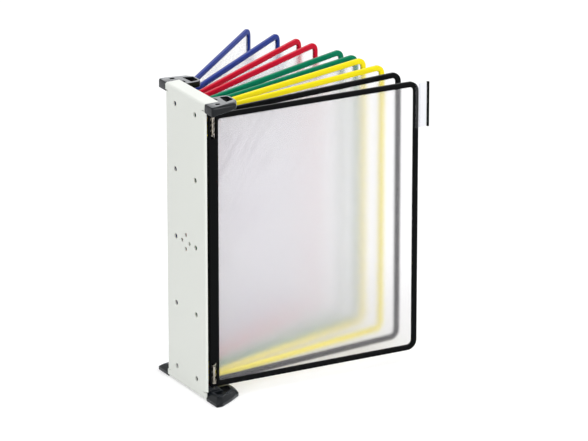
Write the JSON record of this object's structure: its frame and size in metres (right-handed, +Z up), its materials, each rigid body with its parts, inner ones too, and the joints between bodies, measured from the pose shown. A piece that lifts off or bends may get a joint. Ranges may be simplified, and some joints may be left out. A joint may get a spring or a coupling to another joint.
{
  "type": "wall document display",
  "caption": "Wall bracket with a row of pivoting framed document pockets that turn like the pages of a book.",
  "frame": {"origin": "middle of the wall bracket's back face, on the wall plane, between its four small cable-tie holes", "axes": "+Z up along the bracket, -Y straight out from the wall, +X along the row of pivots towards the blue frames"},
  "size_m": [0.2672, 0.269, 0.333],
  "materials": {
    "bracket_paint": "satin powder coat",
    "black_plastic": "fine satin texture",
    "blue_plastic": "gloss",
    "red_plastic": "gloss",
    "green_plastic": "gloss",
    "yellow_plastic": "gloss",
    "black_gloss_plastic": "gloss",
    "clear_film": "clear anti-glare film",
    "clear_plastic": "clear",
    "bright_steel": "bright wire",
    "card": "white card"
  },
  "bodies": {
    "bracket": {"wall_bracket": "bracket_paint", "top_pivot_rail": "black_plastic", "bottom_pivot_rail": "black_plastic", "top_cap_far": "black_plastic", "top_cap_near": "black_plastic", "foot_far": "black_plastic", "foot_near": "black_plastic"},
    "blue_1": {"blue_1_frame": "blue_plastic", "blue_1_pocket": "clear_film", "blue_1_bottom_pin": "bright_steel", "blue_1_top_spring": "bright_steel"},
    "blue_1_pin": {"blue_1_top_pin": "bright_steel"},
    "blue_2": {"blue_2_frame": "blue_plastic", "blue_2_pocket": "clear_film", "blue_2_bottom_pin": "bright_steel", "blue_2_top_spring": "bright_steel"},
    "blue_2_pin": {"blue_2_top_pin": "bright_steel"},
    "red_1": {"red_1_frame": "red_plastic", "red_1_pocket": "clear_film", "red_1_bottom_pin": "bright_steel", "red_1_top_spring": "bright_steel"},
    "red_1_pin": {"red_1_top_pin": "bright_steel"},
    "red_2": {"red_2_frame": "red_plastic", "red_2_pocket": "clear_film", "red_2_bottom_pin": "bright_steel", "red_2_top_spring": "bright_steel"},
    "red_2_pin": {"red_2_top_pin": "bright_steel"},
    "green_1": {"green_1_frame": "green_plastic", "green_1_pocket": "clear_film", "green_1_bottom_pin": "bright_steel", "green_1_top_spring": "bright_steel"},
    "green_1_pin": {"green_1_top_pin": "bright_steel"},
    "green_2": {"green_2_frame": "green_plastic", "green_2_pocket": "clear_film", "green_2_bottom_pin": "bright_steel", "green_2_top_spring": "bright_steel"},
    "green_2_pin": {"green_2_top_pin": "bright_steel"},
    "yellow_1": {"yellow_1_frame": "yellow_plastic", "yellow_1_pocket": "clear_film", "yellow_1_bottom_pin": "bright_steel", "yellow_1_top_spring": "bright_steel"},
    "yellow_1_pin": {"yellow_1_top_pin": "bright_steel"},
    "yellow_2": {"yellow_2_frame": "yellow_plastic", "yellow_2_pocket": "clear_film", "yellow_2_bottom_pin": "bright_steel", "yellow_2_top_spring": "bright_steel"},
    "yellow_2_pin": {"yellow_2_top_pin": "bright_steel"},
    "black_1": {"black_1_frame": "black_gloss_plastic", "black_1_pocket": "clear_film", "black_1_bottom_pin": "bright_steel", "black_1_top_spring": "bright_steel"},
    "black_1_pin": {"black_1_top_pin": "bright_steel"},
    "black_2": {"black_2_frame": "black_gloss_plastic", "black_2_pocket": "clear_film", "black_2_bottom_pin": "bright_steel", "black_2_top_spring": "bright_steel", "index_tab": "clear_plastic", "tab_card": "card", "tab_edge": "black_gloss_plastic"},
    "black_2_pin": {"black_2_top_pin": "bright_steel"}
  },
  "joints": [
    {"name": "blue_1_turn", "type": "hinge", "parent": "bracket", "child": "blue_1", "pos_m": [0.0378, -0.012, 0], "axis": [0, 0, 1], "range_deg": [-7.5, 32]},
    {"name": "blue_1_pin_slide", "type": "slide", "parent": "blue_1", "child": "blue_1_pin", "axis": [0, 0, 1], "range_m": [-0.005, 0], "stiffness_N_per_m": 300, "springref_m": 0.005, "deforming": ["blue_1_top_spring"]},
    {"name": "blue_2_turn", "type": "hinge", "parent": "bracket", "child": "blue_2", "pos_m": [0.0294, -0.012, 0], "axis": [0, 0, 1], "range_deg": [-5.6, 7.4]},
    {"name": "blue_2_pin_slide", "type": "slide", "parent": "blue_2", "child": "blue_2_pin", "axis": [0, 0, 1], "range_m": [-0.005, 0], "stiffness_N_per_m": 300, "springref_m": 0.005, "deforming": ["blue_2_top_spring"]},
    {"name": "red_1_turn", "type": "hinge", "parent": "bracket", "child": "red_1", "pos_m": [0.021, -0.012, 0], "axis": [0, 0, 1], "range_deg": [-4.4, 5.5]},
    {"name": "red_1_pin_slide", "type": "slide", "parent": "red_1", "child": "red_1_pin", "axis": [0, 0, 1], "range_m": [-0.005, 0], "stiffness_N_per_m": 300, "springref_m": 0.005, "deforming": ["red_1_top_spring"]},
    {"name": "red_2_turn", "type": "hinge", "parent": "bracket", "child": "red_2", "pos_m": [0.0126, -0.012, 0], "axis": [0, 0, 1], "range_deg": [-7.7, 4.3]},
    {"name": "red_2_pin_slide", "type": "slide", "parent": "red_2", "child": "red_2_pin", "axis": [0, 0, 1], "range_m": [-0.005, 0], "stiffness_N_per_m": 300, "springref_m": 0.005, "deforming": ["red_2_top_spring"]},
    {"name": "green_1_turn", "type": "hinge", "parent": "bracket", "child": "green_1", "pos_m": [0.0042, -0.012, 0], "axis": [0, 0, 1], "range_deg": [-4.3, 7.6]},
    {"name": "green_1_pin_slide", "type": "slide", "parent": "green_1", "child": "green_1_pin", "axis": [0, 0, 1], "range_m": [-0.005, 0], "stiffness_N_per_m": 300, "springref_m": 0.005, "deforming": ["green_1_top_spring"]},
    {"name": "green_2_turn", "type": "hinge", "parent": "bracket", "child": "green_2", "pos_m": [-0.0042, -0.012, 0], "axis": [0, 0, 1], "range_deg": [-2.1, 4.3]},
    {"name": "green_2_pin_slide", "type": "slide", "parent": "green_2", "child": "green_2_pin", "axis": [0, 0, 1], "range_m": [-0.005, 0], "stiffness_N_per_m": 300, "springref_m": 0.005, "deforming": ["green_2_top_spring"]},
    {"name": "yellow_1_turn", "type": "hinge", "parent": "bracket", "child": "yellow_1", "pos_m": [-0.0126, -0.012, 0], "axis": [0, 0, 1], "range_deg": [-6.2, 2]},
    {"name": "yellow_1_pin_slide", "type": "slide", "parent": "yellow_1", "child": "yellow_1_pin", "axis": [0, 0, 1], "range_m": [-0.005, 0], "stiffness_N_per_m": 300, "springref_m": 0.005, "deforming": ["yellow_1_top_spring"]},
    {"name": "yellow_2_turn", "type": "hinge", "parent": "bracket", "child": "yellow_2", "pos_m": [-0.021, -0.012, 0], "axis": [0, 0, 1], "range_deg": [-6, 6.2]},
    {"name": "yellow_2_pin_slide", "type": "slide", "parent": "yellow_2", "child": "yellow_2_pin", "axis": [0, 0, 1], "range_m": [-0.005, 0], "stiffness_N_per_m": 300, "springref_m": 0.005, "deforming": ["yellow_2_top_spring"]},
    {"name": "black_1_turn", "type": "hinge", "parent": "bracket", "child": "black_1", "pos_m": [-0.0294, -0.012, 0], "axis": [0, 0, 1], "range_deg": [-7.1, 6]},
    {"name": "black_1_pin_slide", "type": "slide", "parent": "black_1", "child": "black_1_pin", "axis": [0, 0, 1], "range_m": [-0.005, 0], "stiffness_N_per_m": 300, "springref_m": 0.005, "deforming": ["black_1_top_spring"]},
    {"name": "black_2_turn", "type": "hinge", "parent": "bracket", "child": "black_2", "pos_m": [-0.0378, -0.012, 0], "axis": [0, 0, 1], "range_deg": [-82, 7.1]},
    {"name": "black_2_pin_slide", "type": "slide", "parent": "black_2", "child": "black_2_pin", "axis": [0, 0, 1], "range_m": [-0.005, 0], "stiffness_N_per_m": 300, "springref_m": 0.005, "deforming": ["black_2_top_spring"]}
  ]
}
